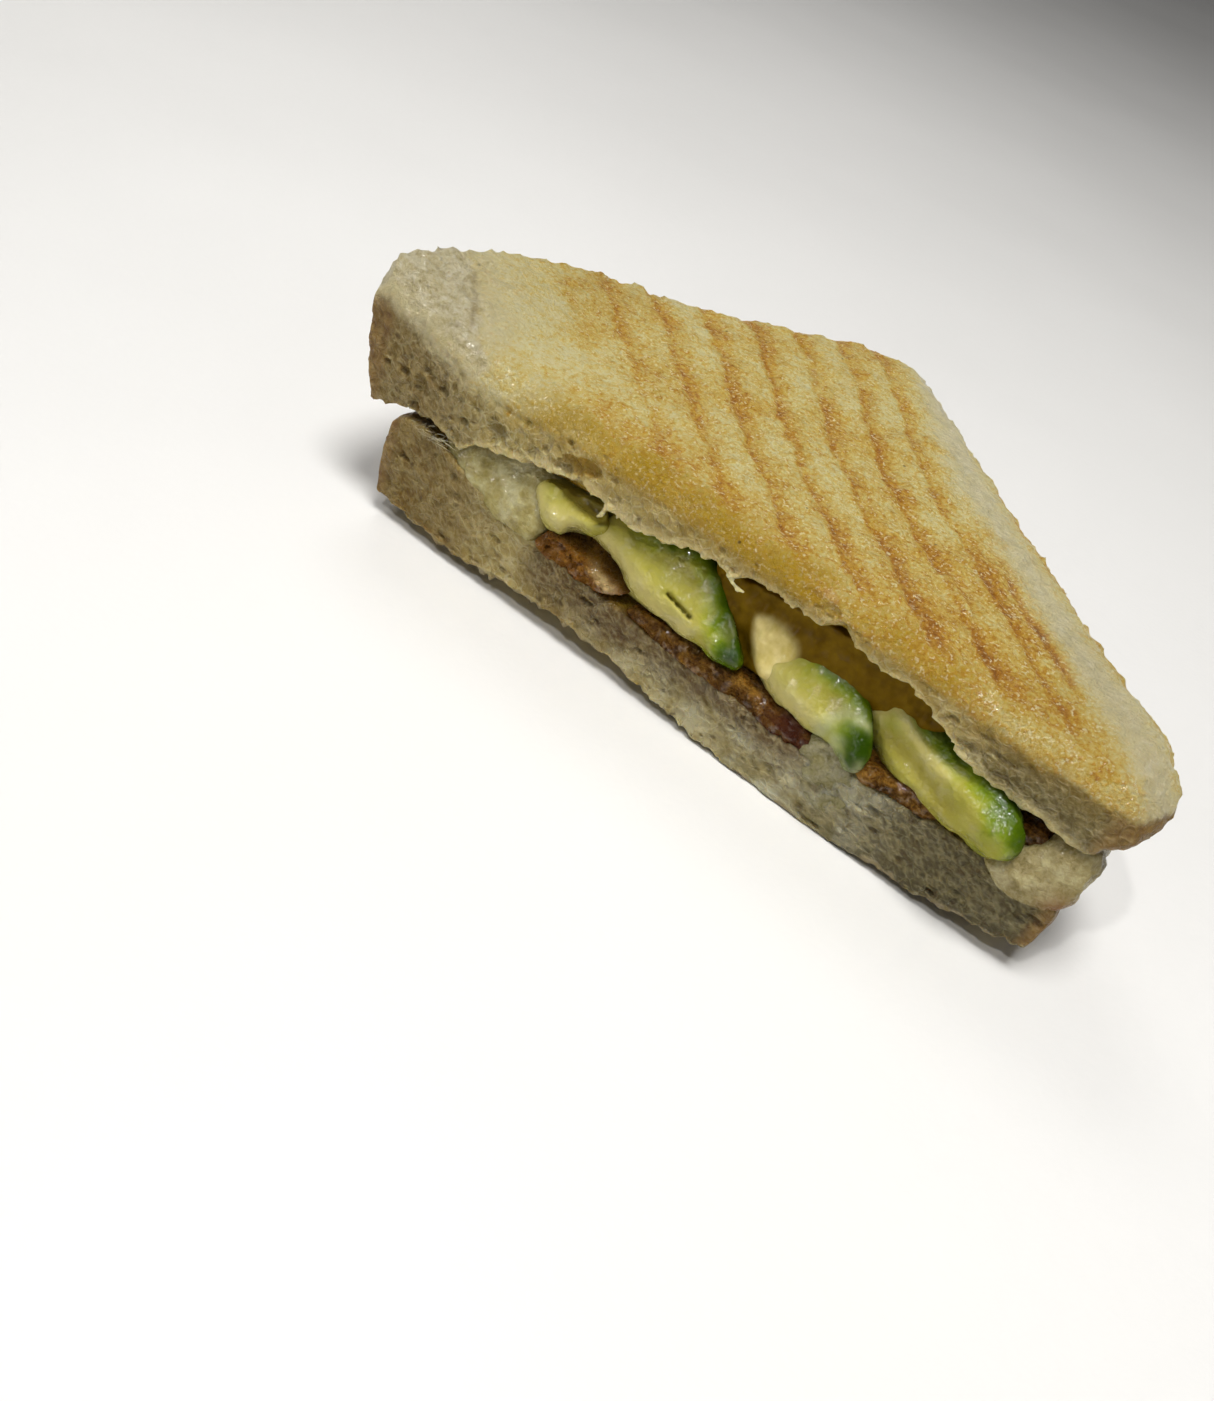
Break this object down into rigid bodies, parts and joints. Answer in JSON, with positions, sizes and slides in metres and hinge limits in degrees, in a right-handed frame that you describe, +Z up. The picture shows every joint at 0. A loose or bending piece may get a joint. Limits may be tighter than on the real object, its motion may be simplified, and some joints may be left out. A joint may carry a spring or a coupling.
{
  "type": "melt sandwich half",
  "caption": "Half of a pressed toasted sandwich cut corner to corner: grill-marked bread with melted cheese, bacon rashers and avocado slices showing at the cut.",
  "frame": {"origin": "middle of the underside, on the surface that the sandwich half rests on", "axes": "+X along the cut from its puffier left end to its right end; +Y from the cut face to the toasted crust corner; +Z up through the slices"},
  "size_m": [0.1354, 0.09, 0.0407],
  "materials": {
    "bread": "pressed and toasted white bread: golden fine-grained face with orange-brown grill lines, open pale crumb at the cut, thin tan crust",
    "cheese": "melted pale cheese, glossy and slightly see-through",
    "bacon": "fried bacon, dark red-brown, greasy and granular",
    "avocado": "ripe avocado flesh, pale yellow-green turning deep green at the skin side, moist",
    "sauce": "pale beige creamy sauce, smooth and moist"
  },
  "bodies": {
    "root": {"bread_lower": "bread", "bread_upper": "bread", "cheese": "cheese", "bacon_1": "bacon", "bacon_2": "bacon", "bacon_3": "bacon", "bacon_4": "bacon", "avocado_1": "avocado", "avocado_2": "avocado", "avocado_3": "avocado", "avocado_4": "avocado", "sauce": "sauce"}
  },
  "joints": []
}
